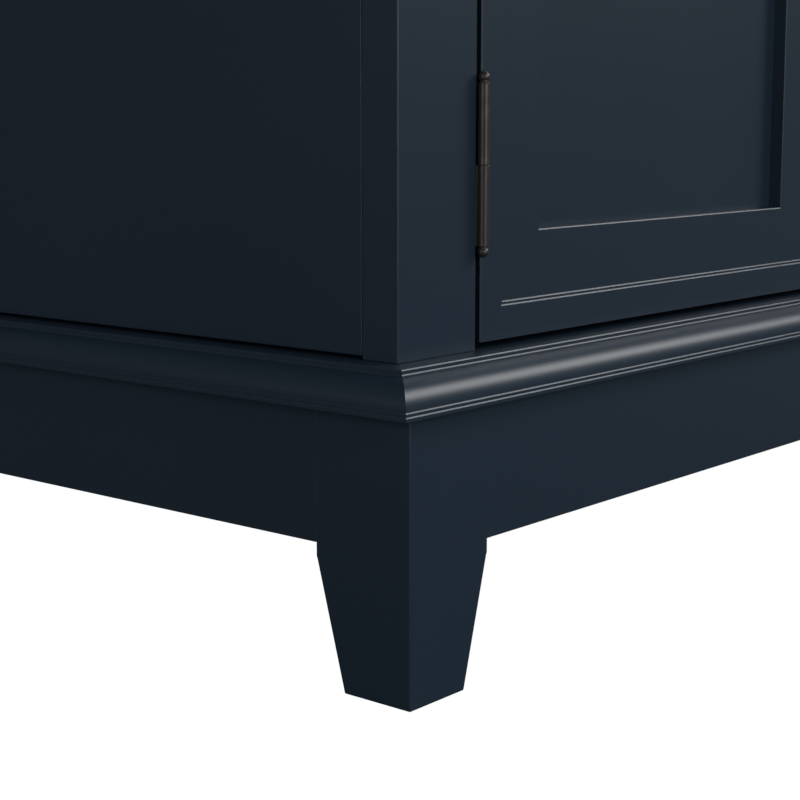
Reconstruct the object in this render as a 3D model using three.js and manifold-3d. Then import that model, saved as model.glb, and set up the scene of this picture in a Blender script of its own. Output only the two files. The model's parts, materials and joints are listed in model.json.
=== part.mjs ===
// A freestanding bathroom vanity cabinet: four tapered legs and an apron carry a moulded base,
// and on it stands an open-backed case with a face frame and two inset doors on ball-tip hinges.
// Millimetres, +Z up. X is the width, the doors face -Y, and the floor is at Z = 0.
// Inside this file Y = 0 is the front of the face frame. The group at the end moves the whole
// cabinet back so that the origin is under the middle of its bounding box.
import * as THREE from "three";
import { ConvexGeometry } from "three/addons/geometries/ConvexGeometry.js";
import { mergeVertices } from "three/addons/utils/BufferGeometryUtils.js";
import Module from "manifold-3d";

// Case
const CASE_WIDTH = 736;
const CASE_DEPTH = 533;
const CASE_TOP = 851;
const BOARD = 19; // thickness of the case's and the face frame's boards
const THIN_BOARD = 16; // thickness of the floor and the shelf
const FACE_STILE_WIDTH = 50.75;
const FACE_RAIL_HEIGHT = 60;
const BACK_RAIL_HEIGHT = 100;
const BLOCK_LEG = 64; // the two short sides of a corner block

// Legs and aprons
const LEG_TOP_WIDTH = 50;
const LEG_FOOT_WIDTH = 35;
const LEG_HEIGHT = 119.5;
const TAPER_START = 55; // height at which the two inner faces start to slope
const APRON_UNDERSIDE = 61.5;
const LEG_STEP_FRONT = 18; // how far the legs stand out from the face frame
const LEG_STEP_SIDE = 14; // and from the side panels

// Base moulding, a board laid flat whose edge is moulded
const MOULDING_TOP = 137;
const SIDE_GAP = 1.5; // shadow line under each side panel
const MOULDING_INSIDE = 45; // how far the board runs in under the case
const LEDGE = 11.5; // flat top in front of the case
const ROUND_TOP = { out: 12.25, z: 135.25 };
const ROUND_FOOT = { out: 24, z: 123 };
const FILLET = { out: 24.5, z: 121.25 };
const MOULDING_OUT = 25;
const ROUND_STEPS = 8;
const MITRE_GAP = 0.2;

// Doors
const DOOR_WIDTH = 312.5;
const DOOR_THICKNESS = 18;
const DOOR_GAP = 3.25; // beside the hinges
const DOOR_FOOT = 140;
const DOOR_TOP = 788;
const DOOR_STILE = 44;
const DOOR_RAIL = 46;
const BORDER = 14.5; // width of the border that stands proud around the door
const BORDER_STEP = 0.75; // depth of each of its two small steps
const STEP_WIDTH = 1.5; // width of the strip between the two steps
const PANEL_THICKNESS = 6;
const PANEL_SETBACK = 8.5; // from the door's front to the panel's
const GROOVE_DEPTH = 9;
const GROOVE_PLAY = 0.25;

// Hinges
const HINGE_ABOVE_DOOR_FOOT = 75;
const PIN_OUT = 2.5; // pin centre in front of the face frame
const PIN_RADIUS = 1;
const BORE_RADIUS = 1.3;
const KNUCKLE_RADIUS = 2.45;
const BARREL_LENGTH = 67.5;
const KNUCKLE_GAP = 0.3;
const FINIAL_RADIUS = 2.4;
const FINIAL_NECK = 1.9;
const LEAF_THICKNESS = 1.375;
const LEAF_DEPTH = 15;
const ROUND_SIDES = 24;

// Knobs, catches, shelf
const KNOB_HEIGHT = 638;
const KNOB_OUT = 26;
const SHELF_UNDERSIDE = 336;
const SHELF_SETBACK = 90;
const SHELF_PLAY = 0.5;
const SHELF_PIN_RADIUS = 2.5;
const SHELF_PIN_LENGTH = 16; // half of it sits in the side panel
const SHELF_PIN_INSET = 50;
const PIN_HOLE_PLAY = 0.3;
const CLEAT_WIDTH = 120;
const CLEAT_UNDERSIDE = 768;
const CATCH = { width: 36, depth: 16, height: 14, fromMiddle: 7, setback: 19.75 };
const STRIKE = { width: 24, height: 10, thickness: 1.25, fromMiddle: 13 };

// Finishes
const lacquer = new THREE.MeshStandardMaterial({ color: 0x262e3a, roughness: 0.42, metalness: 0 });
const interior = new THREE.MeshStandardMaterial({ color: 0x2b3340, roughness: 0.6, metalness: 0 });
const bronze = new THREE.MeshStandardMaterial({ color: 0x2e2a28, roughness: 0.38, metalness: 0.85 });
const steel = new THREE.MeshStandardMaterial({ color: 0x9a9ca0, roughness: 0.35, metalness: 1 });
const plastic = new THREE.MeshStandardMaterial({ color: 0x3a3230, roughness: 0.5, metalness: 0 });

const HALF_WIDTH = CASE_WIDTH / 2;
const SIDE_INSIDE = HALF_WIDTH - BOARD;
const FLOOR_TOP = MOULDING_TOP + THIN_BOARD;
const SIDES = [["left", -1], ["right", 1]];

const wasm = await Module();
wasm.setup();

const cabinet = new THREE.Group();

function mesh(name, geometry, material, parent = cabinet) {
  const piece = new THREE.Mesh(geometry, material);
  piece.name = name;
  parent.add(piece);
  return piece;
}

// A box between two limits on each axis, in either order.
function block(x, y, z) {
  const size = [x, y, z].map(([from, to]) => Math.abs(to - from));
  const middle = [x, y, z].map(([from, to]) => (from + to) / 2);
  return new THREE.BoxGeometry(...size).translate(...middle);
}

function board(name, material, x, y, z) {
  return mesh(name, block(x, y, z), material);
}

// A closed geometry as a manifold solid, and back.
function solid(geometry) {
  const bare = geometry.clone();
  bare.deleteAttribute("normal");
  bare.deleteAttribute("uv");
  const merged = mergeVertices(bare);
  const vertProperties = new Float32Array(merged.attributes.position.array);
  const triVerts = new Uint32Array(merged.index.array);
  return new wasm.Manifold(new wasm.Mesh({ numProp: 3, vertProperties, triVerts }));
}

function shape(made) {
  const { vertProperties, triVerts } = made.getMesh();
  const geometry = new THREE.BufferGeometry();
  geometry.setAttribute("position", new THREE.BufferAttribute(vertProperties, 3));
  geometry.setIndex(new THREE.BufferAttribute(triVerts, 1));
  geometry.computeVertexNormals();
  return geometry;
}

function cut(geometry, ...cutters) {
  return shape(cutters.reduce((made, cutter) => made.subtract(solid(cutter)), solid(geometry)));
}

// An outline of [across, up] points run along a line from `start`, its first axis pointing `out`.
function run(outline, length, out, start) {
  const up = new THREE.Vector3(0, 0, 1);
  const along = out.clone().cross(up);
  const place = new THREE.Matrix4().makeBasis(out, up, along).setPosition(...start);
  const section = new THREE.Shape(outline.map((point) => new THREE.Vector2(...point)));
  return new THREE.ExtrudeGeometry(section, { depth: length, bevelEnabled: false }).applyMatrix4(place);
}

// An outline of [x, y] points raised from one height to another.
function prism(outline, low, high) {
  const plan = new THREE.Shape(outline.map((point) => new THREE.Vector2(...point)));
  const settings = { depth: high - low, bevelEnabled: false };
  return new THREE.ExtrudeGeometry(plan, settings).translate(0, 0, low);
}

// A round rod along Z, centred on its own origin.
function rod(radius, length) {
  return new THREE.CylinderGeometry(radius, radius, length, ROUND_SIDES).rotateX(Math.PI / 2);
}

// Legs: square posts whose two inner faces slope in towards the foot.
function leg(name, side, outerY, inward) {
  const outerX = side * (HALF_WIDTH + LEG_STEP_SIDE);
  const levels = [[LEG_FOOT_WIDTH, 0], [LEG_TOP_WIDTH, TAPER_START], [LEG_TOP_WIDTH, LEG_HEIGHT]];
  const corners = levels.flatMap(([width, z]) =>
    [[0, 0], [width, 0], [0, width], [width, width]].map(
      ([x, y]) => new THREE.Vector3(outerX - side * x, outerY + inward * y, z),
    ),
  );
  mesh(name, new ConvexGeometry(corners), lacquer);
}

for (const [name, side] of SIDES) {
  leg(`leg_front_${name}`, side, -LEG_STEP_FRONT, 1);
  leg(`leg_rear_${name}`, side, CASE_DEPTH, -1);
}

// Aprons: boards between the legs, flush with the legs' outer faces.
const APRON_HEIGHTS = [APRON_UNDERSIDE, LEG_HEIGHT];
const LEG_OUTER_X = HALF_WIDTH + LEG_STEP_SIDE;
const LEG_INNER_X = LEG_OUTER_X - LEG_TOP_WIDTH;
const SIDE_APRON_Y = [LEG_TOP_WIDTH - LEG_STEP_FRONT, CASE_DEPTH - LEG_TOP_WIDTH];
const APRON_X = [-LEG_INNER_X, LEG_INNER_X];
board("apron_front", lacquer, APRON_X, [-LEG_STEP_FRONT, BOARD - LEG_STEP_FRONT], APRON_HEIGHTS);
board("apron_rear", lacquer, APRON_X, [CASE_DEPTH - BOARD, CASE_DEPTH], APRON_HEIGHTS);
for (const [name, side] of SIDES) {
  const thickness = [side * LEG_OUTER_X, side * (LEG_OUTER_X - BOARD)];
  board(`apron_${name}`, lacquer, thickness, SIDE_APRON_Y, APRON_HEIGHTS);
}

// Base moulding: the section goes from the board's inner edge out over the ledge, down a small
// fillet, round a quarter of an ellipse and down two more fillets.
function mouldingOutline() {
  const across = ROUND_FOOT.out - ROUND_TOP.out;
  const down = ROUND_TOP.z - ROUND_FOOT.z;
  const round = [];
  for (let step = 0; step <= ROUND_STEPS; step++) {
    const turn = (step / ROUND_STEPS) * (Math.PI / 2);
    round.push([ROUND_TOP.out + across * Math.sin(turn), ROUND_FOOT.z + down * Math.cos(turn)]);
  }
  return [
    [-MOULDING_INSIDE, LEG_HEIGHT],
    [-MOULDING_INSIDE, MOULDING_TOP],
    [LEDGE, MOULDING_TOP],
    [LEDGE, ROUND_TOP.z],
    ...round,
    [FILLET.out, ROUND_FOOT.z],
    [FILLET.out, FILLET.z],
    [MOULDING_OUT, FILLET.z],
    [MOULDING_OUT, LEG_HEIGHT],
  ].reverse();
}

// The plan of everything in front of the two mitres, moved sideways by `shift` at each.
function inFrontOfMitres(shift) {
  const outside = HALF_WIDTH + MOULDING_OUT + LEG_TOP_WIDTH;
  const inside = HALF_WIDTH - LEG_TOP_WIDTH;
  const near = -(MOULDING_OUT + LEG_TOP_WIDTH);
  const outline = [
    [-(outside + shift), near],
    [outside + shift, near],
    [inside + shift, LEG_TOP_WIDTH],
    [-(inside + shift), LEG_TOP_WIDTH],
  ];
  return prism(outline, LEG_HEIGHT - BOARD, MOULDING_TOP + BOARD);
}

const MOULDING_HALF = HALF_WIDTH + MOULDING_OUT;
const frontRun = run(
  mouldingOutline(), 2 * MOULDING_HALF, new THREE.Vector3(0, -1, 0), [MOULDING_HALF, 0, 0],
);
mesh(
  "moulding_front",
  shape(solid(frontRun).intersect(solid(inFrontOfMitres(-MITRE_GAP)))),
  lacquer,
);
for (const [name, side] of SIDES) {
  const startY = side > 0 ? CASE_DEPTH : -MOULDING_OUT;
  const out = new THREE.Vector3(side, 0, 0);
  const sideRun = run(mouldingOutline(), CASE_DEPTH + MOULDING_OUT, out, [side * HALF_WIDTH, startY, 0]);
  mesh(`moulding_${name}`, cut(sideRun, inFrontOfMitres(MITRE_GAP)), lacquer);
}
const BASE_INNER_X = HALF_WIDTH - MOULDING_INSIDE;
board(
  "base_rail_rear", lacquer,
  [-BASE_INNER_X, BASE_INNER_X], [CASE_DEPTH - LEG_TOP_WIDTH, CASE_DEPTH], [LEG_HEIGHT, MOULDING_TOP],
);

// Case: side panels behind the face frame, floor, and two rails across the open back.
const PIN_ROWS = [["front", SHELF_SETBACK + SHELF_PIN_INSET], ["rear", CASE_DEPTH - BOARD - SHELF_PIN_INSET]];
const PIN_Z = SHELF_UNDERSIDE - SHELF_PIN_RADIUS;

function shelfPin(radius, length, side, y) {
  return new THREE.CylinderGeometry(radius, radius, length, ROUND_SIDES)
    .rotateZ(Math.PI / 2)
    .translate(side * SIDE_INSIDE, y, PIN_Z);
}

for (const [name, side] of SIDES) {
  const panel = block(
    [side * SIDE_INSIDE, side * HALF_WIDTH], [BOARD, CASE_DEPTH], [MOULDING_TOP + SIDE_GAP, CASE_TOP],
  );
  const holes = PIN_ROWS.map(([, y]) =>
    shelfPin(SHELF_PIN_RADIUS + PIN_HOLE_PLAY, SHELF_PIN_LENGTH + 2 * PIN_HOLE_PLAY, side, y),
  );
  mesh(`side_panel_${name}`, cut(panel, ...holes), lacquer);
  for (const [row, y] of PIN_ROWS) {
    mesh(`shelf_pin_${row}_${name}`, shelfPin(SHELF_PIN_RADIUS, SHELF_PIN_LENGTH, side, y), steel);
  }
}

const INSIDE_X = [-SIDE_INSIDE, SIDE_INSIDE];
const BACK_Y = [CASE_DEPTH - BOARD, CASE_DEPTH];
board("floor_panel", interior, INSIDE_X, [BOARD, CASE_DEPTH], [MOULDING_TOP, FLOOR_TOP]);
board("back_rail_bottom", interior, INSIDE_X, BACK_Y, [FLOOR_TOP, FLOOR_TOP + BACK_RAIL_HEIGHT]);
board("back_rail_top", interior, INSIDE_X, BACK_Y, [CASE_TOP - BACK_RAIL_HEIGHT, CASE_TOP]);
board(
  "shelf", interior,
  [-(SIDE_INSIDE - SHELF_PLAY), SIDE_INSIDE - SHELF_PLAY],
  [SHELF_SETBACK, CASE_DEPTH - BOARD - SHELF_PLAY],
  [SHELF_UNDERSIDE, SHELF_UNDERSIDE + THIN_BOARD],
);

// Corner blocks: triangles in the four top corners that stiffen the case and take the worktop's screws.
for (const [name, side] of SIDES) {
  for (const [row, y, inward] of [["front", BOARD, 1], ["rear", CASE_DEPTH - BOARD, -1]]) {
    const outline = [
      [side * SIDE_INSIDE, y],
      [side * (SIDE_INSIDE - BLOCK_LEG), y],
      [side * SIDE_INSIDE, y + inward * BLOCK_LEG],
    ];
    mesh(`corner_block_${row}_${name}`, prism(outline, CASE_TOP - BOARD, CASE_TOP), interior);
  }
}

// Face frame: two stiles and a top rail. The doors reach down to the moulding, with no bottom rail.
const OPENING_X = HALF_WIDTH - FACE_STILE_WIDTH;
for (const [name, side] of SIDES) {
  board(
    `face_stile_${name}`, lacquer,
    [side * OPENING_X, side * HALF_WIDTH], [0, BOARD], [MOULDING_TOP, CASE_TOP],
  );
}
board("face_rail_top", lacquer, [-OPENING_X, OPENING_X], [0, BOARD], [CASE_TOP - FACE_RAIL_HEIGHT, CASE_TOP]);

// A cleat behind the top rail carries one magnetic catch for each door.
board(
  "catch_cleat", interior,
  [-CLEAT_WIDTH / 2, CLEAT_WIDTH / 2], [BOARD, 2 * BOARD], [CLEAT_UNDERSIDE, CASE_TOP],
);
for (const [name, side] of SIDES) {
  board(
    `catch_${name}`, plastic,
    [side * CATCH.fromMiddle, side * (CATCH.fromMiddle + CATCH.width)],
    [CATCH.setback, CATCH.setback + CATCH.depth],
    [CLEAT_UNDERSIDE - CATCH.height, CLEAT_UNDERSIDE],
  );
}

// Doors. x0 is the hinged edge and x1 the meeting edge; `towards` points from the first to the second.
function door(name, side) {
  const x0 = side * (OPENING_X - DOOR_GAP);
  const towards = -side;
  const x1 = x0 + towards * DOOR_WIDTH;
  const hingeStileX = x0 + towards * DOOR_STILE;
  const lockStileX = x1 - towards * DOOR_STILE;

  // The field inside the proud border, once for each of the two steps.
  const field = [1, 2].map((step) => {
    const inset = BORDER + (step - 1) * STEP_WIDTH;
    return block(
      [x0 + towards * inset, x1 - towards * inset],
      [-BORDER_STEP, step * BORDER_STEP],
      [DOOR_FOOT + inset, DOOR_TOP - inset],
    );
  });
  const groove = block(
    [hingeStileX - towards * (GROOVE_DEPTH + GROOVE_PLAY), lockStileX + towards * (GROOVE_DEPTH + GROOVE_PLAY)],
    [PANEL_SETBACK - GROOVE_PLAY, PANEL_SETBACK + PANEL_THICKNESS + GROOVE_PLAY],
    [DOOR_FOOT + DOOR_RAIL - GROOVE_DEPTH - GROOVE_PLAY, DOOR_TOP - DOOR_RAIL + GROOVE_DEPTH + GROOVE_PLAY],
  );
  const member = (part, x, z) => {
    mesh(`door_${name}_${part}`, cut(block(x, [0, DOOR_THICKNESS], z), ...field, groove), lacquer);
  };
  member("hinge_stile", [x0, hingeStileX], [DOOR_FOOT, DOOR_TOP]);
  member("lock_stile", [lockStileX, x1], [DOOR_FOOT, DOOR_TOP]);
  member("bottom_rail", [hingeStileX, lockStileX], [DOOR_FOOT, DOOR_FOOT + DOOR_RAIL]);
  member("top_rail", [hingeStileX, lockStileX], [DOOR_TOP - DOOR_RAIL, DOOR_TOP]);
  board(
    `door_${name}_panel`, lacquer,
    [hingeStileX - towards * GROOVE_DEPTH, lockStileX + towards * GROOVE_DEPTH],
    [PANEL_SETBACK, PANEL_SETBACK + PANEL_THICKNESS],
    [DOOR_FOOT + DOOR_RAIL - GROOVE_DEPTH, DOOR_TOP - DOOR_RAIL + GROOVE_DEPTH],
  );

  const strikeTop = CLEAT_UNDERSIDE - CATCH.height / 2 + STRIKE.height / 2;
  board(
    `strike_${name}`, steel,
    [side * STRIKE.fromMiddle, side * (STRIKE.fromMiddle + STRIKE.width)],
    [DOOR_THICKNESS, DOOR_THICKNESS + STRIKE.thickness],
    [strikeTop - STRIKE.height, strikeTop],
  );

  // Knob: turned on an axis along Y, with its foot on the sunk field of the meeting stile.
  const foot = 2 * BORDER_STEP;
  const profile = [
    [0, -KNOB_OUT], [8, -25.4], [12.5, -23.5], [14.5, -20.5], [14.5, -18.5], [12.5, -16],
    [7, -13.5], [4.5, -11], [5, foot - 4.5], [8, foot - 2], [8, foot], [0, foot],
  ];
  const turned = new THREE.LatheGeometry(profile.map((point) => new THREE.Vector2(...point)), ROUND_SIDES);
  const knobX = x1 - towards * (BORDER + DOOR_STILE) / 2;
  mesh(`knob_${name}`, turned.translate(knobX, 0, KNOB_HEIGHT), bronze);
}

// Hinge: two leaves in the gap beside the door, a knuckle on each, and a pin with a ball at each end.
function hinge(name, side, z) {
  const group = new THREE.Group();
  group.position.set(side * (OPENING_X - DOOR_GAP / 2), -PIN_OUT, z);
  cabinet.add(group);

  const half = BARREL_LENGTH / 2;
  const bore = rod(BORE_RADIUS, 2 * BARREL_LENGTH);
  // `edge` is where the leaf lies on the wood, `up` is 1 where its knuckle is the upper one.
  const leaf = (part, edge, up) => {
    const x = [edge, edge - Math.sign(edge) * LEAF_THICKNESS];
    const plate = block(x, [PIN_OUT + KNUCKLE_GAP, LEAF_DEPTH], [-half, half]);
    const tongue = block(x, [BORE_RADIUS + KNUCKLE_GAP, LEAF_DEPTH], [up * KNUCKLE_GAP / 2, up * half]);
    const knuckleLength = half - KNUCKLE_GAP / 2;
    const knuckle = rod(KNUCKLE_RADIUS, knuckleLength).translate(0, 0, up * (half + KNUCKLE_GAP / 2) / 2);
    const joined = solid(plate).add(solid(tongue)).add(solid(knuckle)).subtract(solid(bore));
    mesh(`hinge_${name}_${part}`, shape(joined), bronze, group);
  };
  leaf("frame_leaf", side * DOOR_GAP / 2, -1);
  leaf("door_leaf", -side * DOOR_GAP / 2, 1);

  // Pin: shaft, a thin neck above and below the barrel, then a ball.
  const ballFrom = Math.acos(FINIAL_NECK / FINIAL_RADIUS);
  const upperHalf = [[PIN_RADIUS, half + KNUCKLE_GAP], [FINIAL_NECK, half + KNUCKLE_GAP]];
  const ballCentre = half + KNUCKLE_GAP + 2 * KNUCKLE_GAP + FINIAL_RADIUS * Math.sin(ballFrom);
  for (let step = 0; step < ROUND_STEPS; step++) {
    const turn = -ballFrom + (step / ROUND_STEPS) * (Math.PI / 2 + ballFrom);
    upperHalf.push([FINIAL_RADIUS * Math.cos(turn), ballCentre + FINIAL_RADIUS * Math.sin(turn)]);
  }
  upperHalf.push([0, ballCentre + FINIAL_RADIUS]);
  const lowerHalf = upperHalf.map(([radius, height]) => [radius, -height]).reverse();
  const profile = [...lowerHalf, ...upperHalf].map((point) => new THREE.Vector2(...point));
  const pin = new THREE.LatheGeometry(profile, ROUND_SIDES).rotateX(Math.PI / 2);
  mesh(`hinge_${name}_pin`, pin, bronze, group);
}

for (const [name, side] of SIDES) {
  door(name, side);
  hinge(`${name}_lower`, side, DOOR_FOOT + HINGE_ABOVE_DOOR_FOOT);
  hinge(`${name}_upper`, side, DOOR_TOP - HINGE_ABOVE_DOOR_FOOT);
}

// The bounding box runs from the knobs' faces to the back of the case.
cabinet.position.y = (KNOB_OUT - CASE_DEPTH) / 2;

export default cabinet;
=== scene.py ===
# %% [markdown]
# # A bathroom vanity cabinet in slate-blue lacquer
#
# This lesson dresses a finished cabinet design. The design already fixes every board, hinge pin
# and clearance, so each new piece reads its place from the design's own boxes, and no size is
# guessed twice. Everything is in metres, the floor is at Z = 0, and the doors face -Y.

# %% Load the design
import json
import math

import bmesh
import bpy
from mathutils import Matrix, Vector

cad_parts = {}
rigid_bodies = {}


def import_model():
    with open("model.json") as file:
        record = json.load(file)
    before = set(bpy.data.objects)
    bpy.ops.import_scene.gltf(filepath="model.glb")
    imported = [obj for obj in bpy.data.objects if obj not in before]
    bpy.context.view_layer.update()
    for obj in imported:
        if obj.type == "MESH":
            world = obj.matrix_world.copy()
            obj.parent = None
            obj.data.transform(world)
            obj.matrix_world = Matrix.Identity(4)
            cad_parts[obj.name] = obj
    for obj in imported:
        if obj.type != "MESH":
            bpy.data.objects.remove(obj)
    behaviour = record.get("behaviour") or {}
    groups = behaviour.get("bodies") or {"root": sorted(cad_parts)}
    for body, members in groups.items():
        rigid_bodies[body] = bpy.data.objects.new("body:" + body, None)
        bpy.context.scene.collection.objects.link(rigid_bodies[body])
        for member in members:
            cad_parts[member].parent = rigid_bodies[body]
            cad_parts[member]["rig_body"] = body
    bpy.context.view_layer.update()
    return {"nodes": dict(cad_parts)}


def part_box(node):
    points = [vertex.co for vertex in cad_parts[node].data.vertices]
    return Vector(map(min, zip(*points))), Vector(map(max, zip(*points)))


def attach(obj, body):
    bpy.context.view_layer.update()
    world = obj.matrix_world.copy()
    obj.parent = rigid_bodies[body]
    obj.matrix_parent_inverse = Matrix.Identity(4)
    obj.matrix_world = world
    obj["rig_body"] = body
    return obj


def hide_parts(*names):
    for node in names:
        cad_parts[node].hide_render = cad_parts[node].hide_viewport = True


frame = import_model()
MM = 0.001
SIDES = {"left": -1, "right": 1}

# %% [markdown]
# ## Where the camera stands
#
# The cabinet is seen from low down and close to its front left leg, with a long lens. A long lens
# keeps the two sides from rushing apart. The camera is tipped down only a little, and a small
# shift of the lens does the rest, so that upright edges stay close to upright.

# %% Camera
EYE = (-0.8836, -0.6872, 0.2362)
HEADING = 40.0  # degrees from +X towards +Y
TIP = 8.23  # degrees below level
LENS = 76.69  # millimetres, and so is the sensor's width
SENSOR = 36
SHIFT = -0.05  # of the sensor's width

camera_data = bpy.data.cameras.new("camera")
camera_data.sensor_width = SENSOR
camera_data.lens = LENS
camera_data.shift_y = SHIFT
camera = bpy.data.objects.new("camera", camera_data)
camera.location = EYE
camera.rotation_euler = (math.radians(90 - TIP), 0, math.radians(HEADING - 90))
bpy.context.scene.collection.objects.link(camera)
bpy.context.scene.camera = camera
print("camera looks from", EYE)

# %% [markdown]
# ## Writing shader maths as sums
#
# A material is a graph of nodes. Spelled out node by node it hides the idea, so one small class
# wraps a socket and turns Python's own signs into Math nodes. `0.9 - mask * 0.2` is then a line
# that a reader can check. Every other node comes from one method, which sets the node up, fills its
# sockets and hands back the output.


# %% Shader helpers
class Value:
    """An output socket that can be used in a sum."""

    def __init__(self, graph, socket):
        self.graph = graph
        self.socket = socket

    def math(self, operation, first, second):
        return self.graph.node("ShaderNodeMath", {"operation": operation}, {0: first, 1: second})

    def __add__(self, other):
        return self.math("ADD", self, other)

    def __radd__(self, other):
        return self.math("ADD", other, self)

    def __rsub__(self, other):
        return self.math("SUBTRACT", other, self)

    def __mul__(self, other):
        return self.math("MULTIPLY", self, other)


class Graph:
    """A node tree that starts empty."""

    def __init__(self, tree):
        self.tree = tree
        tree.nodes.clear()

    def node(self, kind, settings=None, inputs=None, output=0):
        """Adds a node: settings go on the node itself, and inputs into its sockets."""
        made = self.tree.nodes.new(kind)
        for key, value in (settings or {}).items():
            if key == "stops":
                for stop, (position, colour) in zip(made.color_ramp.elements, value):
                    stop.position = position
                    stop.color = (*colour, 1)
            else:
                setattr(made, key, value)
        for key, value in (inputs or {}).items():
            if isinstance(value, Value):
                self.tree.links.new(value.socket, made.inputs[key])
            else:
                made.inputs[key].default_value = value
        return Value(self, made.outputs[output]) if made.outputs else None

    def noise(self, place, scale, detail=2.0, roughness=0.5):
        inputs = {"Vector": place, "Scale": scale, "Detail": detail, "Roughness": roughness}
        return self.node("ShaderNodeTexNoise", {}, inputs)

    def ripple(self, height, distance, strength):
        """A normal that makes a height, 0 to 1, look as deep as a distance."""
        inputs = {"Strength": strength, "Distance": distance, "Height": height}
        return self.node("ShaderNodeBump", {}, inputs)

    def blend(self, share, first, second):
        """A colour between two colours. A Mix node's sockets 6 and 7 are its two colours."""
        settings = {"data_type": "RGBA"}
        return self.node("ShaderNodeMix", settings, {0: share, 6: first, 7: second}, output=2)


def linear(red, green, blue):
    """A colour given as on a colour chart, 0 to 255, in the numbers that a shader uses."""
    shares = [channel / 255 for channel in (red, green, blue)]
    curve = [s / 12.92 if s <= 0.04045 else ((s + 0.055) / 1.055) ** 2.4 for s in shares]
    return (*curve, 1)


def finish(name, build, **constants):
    """A material: `build` makes its maps, and constants go on the shader's own sockets."""
    material = bpy.data.materials.new(name)
    material.use_nodes = True
    graph = Graph(material.node_tree)
    place = graph.node("ShaderNodeTexCoord", output=3)  # Object coordinates
    shader = graph.node("ShaderNodeBsdfPrincipled", {}, {**build(graph, place), **constants})
    graph.node("ShaderNodeOutputMaterial", {}, {"Surface": shader})
    print("finish:", name, "with", len(material.node_tree.nodes), "nodes")
    return material


print("chart grey 128 is", round(linear(128, 128, 128)[0], 3), "to a shader")

# %% [markdown]
# ## Lacquer
#
# The cabinet is sprayed with a dark slate-blue satin lacquer. Sprayed lacquer isn't a flat colour:
# the coat is a little thicker in some places, which shifts its tone, and it dries with orange peel,
# a very low ripple about a millimetre and a half across that softens reflections. One cloud of
# noise moves the tone and the gloss together, a finer one makes the ripple, and the finest is the
# dust that settles in a wet coat.

# %% Lacquer
FRONT_TONE = linear(38, 53, 68)
DEEP_TONE = linear(33, 48, 62)
CLOUDS_PER_METRE = 5
PEEL_PER_METRE = 650
DUST_PER_METRE = 2400
PEEL_HEIGHT = 0.2 * MM
PEEL_STRENGTH = 0.05
DUST_SHARE = 0.15  # of the peel's height
SATIN = 0.345
GLOSS_DRIFT = 0.03


def lacquer_maps(graph, place):
    cloud = graph.noise(place, CLOUDS_PER_METRE, detail=3)
    peel = graph.noise(place, PEEL_PER_METRE, detail=1)
    dust = graph.noise(place, DUST_PER_METRE, detail=0)
    height = peel + dust * DUST_SHARE
    return {
        "Base Color": graph.blend(cloud, DEEP_TONE, FRONT_TONE),
        "Roughness": SATIN + cloud * GLOSS_DRIFT + dust * GLOSS_DRIFT,
        "Normal": graph.ripple(height, PEEL_HEIGHT, PEEL_STRENGTH),
    }


lacquer = finish("slate_lacquer", lacquer_maps, **{"IOR": 1.45, "Specular IOR Level": 0.42})

# %% [markdown]
# ## The thin coat inside
#
# Inside the case the boards get one thin coat. It is matt, and the board's own fibres still show
# through as a faint streak along the board, so its noise is stretched along X with a Mapping node.

# %% Interior coat
INTERIOR_LIGHT = linear(50, 59, 72)
INTERIOR_DARK = linear(40, 48, 60)
FIBRES_PER_METRE = (4, 90, 90)
STREAK_SCALE = 2
STREAK_SHARE = 0.7
SPECKLE_SHARE = 0.3
FIBRE_HEIGHT = 0.3 * MM
FIBRE_STRENGTH = 0.12
MATT = 0.58
MATT_DRIFT = 0.12


def interior_maps(graph, place):
    along = graph.node("ShaderNodeMapping", {}, {"Vector": place, "Scale": FIBRES_PER_METRE})
    streak = graph.noise(along, STREAK_SCALE, detail=4, roughness=0.65)
    speckle = graph.noise(place, PEEL_PER_METRE, detail=2)
    height = streak * STREAK_SHARE + speckle * SPECKLE_SHARE
    return {
        "Base Color": graph.blend(streak, INTERIOR_DARK, INTERIOR_LIGHT),
        "Roughness": MATT + speckle * MATT_DRIFT,
        "Normal": graph.ripple(height, FIBRE_HEIGHT, FIBRE_STRENGTH),
    }


interior = finish("interior_coat", interior_maps, **{"IOR": 1.46})

# %% [markdown]
# ## Oil-rubbed bronze
#
# The hinges and knobs are bronze that has been darkened with oil. The dark skin is uneven and lets
# a little warm metal through where hands rub it. A slow noise, steepened by a ramp, says where.

# %% Bronze
BRONZE_SKIN = linear(74, 71, 69)
BRONZE_RUBBED = linear(122, 110, 98)
PATCHES_PER_METRE = 160
RUBBED_FROM = 0.52  # of the patches' noise, where the warm metal starts to show
RUBBED_FULLY = 0.8
RUBBED_SHARE = 0.6
GRIT_PER_METRE = 3200
GRIT_HEIGHT = 0.05 * MM
GRIT_STRENGTH = 0.12
OILED = 0.36
OILED_DRIFT = 0.08


def bronze_maps(graph, place):
    patches = graph.noise(place, PATCHES_PER_METRE, detail=4, roughness=0.6)
    ramp = {"stops": [(RUBBED_FROM, (0, 0, 0)), (RUBBED_FULLY, (1, 1, 1))]}
    rubbed = graph.node("ShaderNodeValToRGB", ramp, {"Fac": patches})
    grit = graph.noise(place, GRIT_PER_METRE, detail=1)
    return {
        "Base Color": graph.blend(rubbed * RUBBED_SHARE, BRONZE_SKIN, BRONZE_RUBBED),
        "Roughness": OILED - rubbed * OILED_DRIFT + grit * OILED_DRIFT,
        "Normal": graph.ripple(grit, GRIT_HEIGHT, GRIT_STRENGTH),
    }


bronze = finish("oil_rubbed_bronze", bronze_maps, **{"Metallic": 0.6, "IOR": 1.5})

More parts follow.
